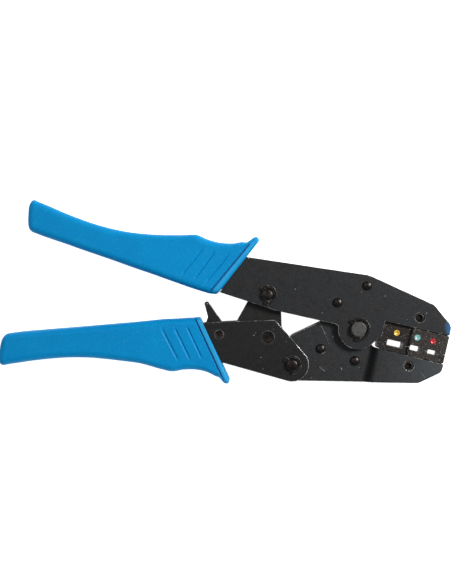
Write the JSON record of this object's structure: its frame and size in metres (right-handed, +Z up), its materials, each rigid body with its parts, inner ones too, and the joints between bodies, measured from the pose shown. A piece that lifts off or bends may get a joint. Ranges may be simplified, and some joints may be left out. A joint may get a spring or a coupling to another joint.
{
  "type": "crimping tool",
  "caption": "Ratchet hand crimping tool with riveted plate frame, pivoting jaw, toggle link, split die block with crimp nests and moulded guard grips, lying flat.",
  "frame": {"origin": "main pivot axis, in the plane that the tool lies on: the flat face of the main pin's head", "axes": "+X along the tool towards the jaws, +Y towards the fixed handle, +Z up along the pivot axes, through the thickness"},
  "size_m": [0.2267, 0.0919, 0.0191],
  "materials": {
    "blackened_steel": "black oxide, satin",
    "die_steel": "dark oxide, grainy",
    "pin_steel": "dark oxide, semi-gloss",
    "bright_steel": "ground, worn",
    "spring_steel": "drawn wire",
    "grip_plastic": "moulded, fine texture",
    "enamel_yellow": "glossy enamel",
    "enamel_blue": "glossy enamel",
    "enamel_red": "glossy enamel"
  },
  "bodies": {
    "frame": {"frame_plate_front": "blackened_steel", "frame_plate_back": "blackened_steel", "head_spacer": "blackened_steel", "rear_spacer": "blackened_steel", "frame_rivet_1": "pin_steel", "frame_rivet_2": "pin_steel", "frame_tang_rivet_1": "pin_steel", "frame_tang_rivet_2": "pin_steel", "upper_grip": "grip_plastic", "upper_die": "die_steel", "upper_die_screw": "pin_steel", "dot_yellow": "enamel_yellow", "dot_blue": "enamel_blue", "dot_red": "enamel_red", "main_pin": "bright_steel", "main_pin_clip": "pin_steel", "link_pin": "pin_steel", "link_pin_clip": "pin_steel"},
    "jaw": {"jaw_plate_front": "blackened_steel", "jaw_plate_back": "blackened_steel", "jaw_spacer": "blackened_steel", "jaw_rivet_1": "pin_steel", "jaw_rivet_2": "pin_steel", "lower_die": "die_steel", "lower_die_screw": "pin_steel"},
    "handle": {"handle_plate_front": "blackened_steel", "handle_plate_back": "blackened_steel", "handle_spacer": "blackened_steel", "handle_tang_rivet_1": "pin_steel", "handle_tang_rivet_2": "pin_steel", "handle_pin": "pin_steel", "handle_pin_clip": "pin_steel", "toggle_pin": "pin_steel", "pawl_pin": "pin_steel", "spring_anchor": "pin_steel", "pawl_spring_anchor": "pin_steel", "opening_spring": "spring_steel", "lower_grip": "grip_plastic"},
    "link": {"toggle_link": "blackened_steel", "hook_pin": "pin_steel"},
    "pawl": {"ratchet_pawl": "blackened_steel", "pawl_spring": "spring_steel"}
  },
  "joints": [
    {"name": "jaw_pivot", "type": "hinge", "parent": "frame", "child": "jaw", "pos_m": [0, 0, 0.0095], "axis": [0, 0, 1], "range_deg": [-11.8, 0]},
    {"name": "handle_pivot", "type": "hinge", "parent": "jaw", "child": "handle", "pos_m": [-0.0331, -0.0178, 0.0095], "axis": [0, 0, 1], "range_deg": [0, 36]},
    {"name": "link_pivot", "type": "hinge", "parent": "handle", "child": "link", "pos_m": [-0.0452, -0.0041, 0.0095], "axis": [0, 0, 1], "range_deg": [-45.6, 0], "deforming": ["opening_spring"]},
    {"name": "pawl_pivot", "type": "hinge", "parent": "handle", "child": "pawl", "pos_m": [-0.0696, -0.0027, 0.0095], "axis": [0, 0, 1], "range_deg": [-15, 4], "stiffness_Nm_per_rad": 0.02, "deforming": ["pawl_spring"]}
  ],
  "couplings": [
    {"joint": "jaw_pivot", "follows": "handle_pivot", "ratio": -0.3276},
    {"joint": "link_pivot", "follows": "handle_pivot", "ratio": -1.266}
  ]
}
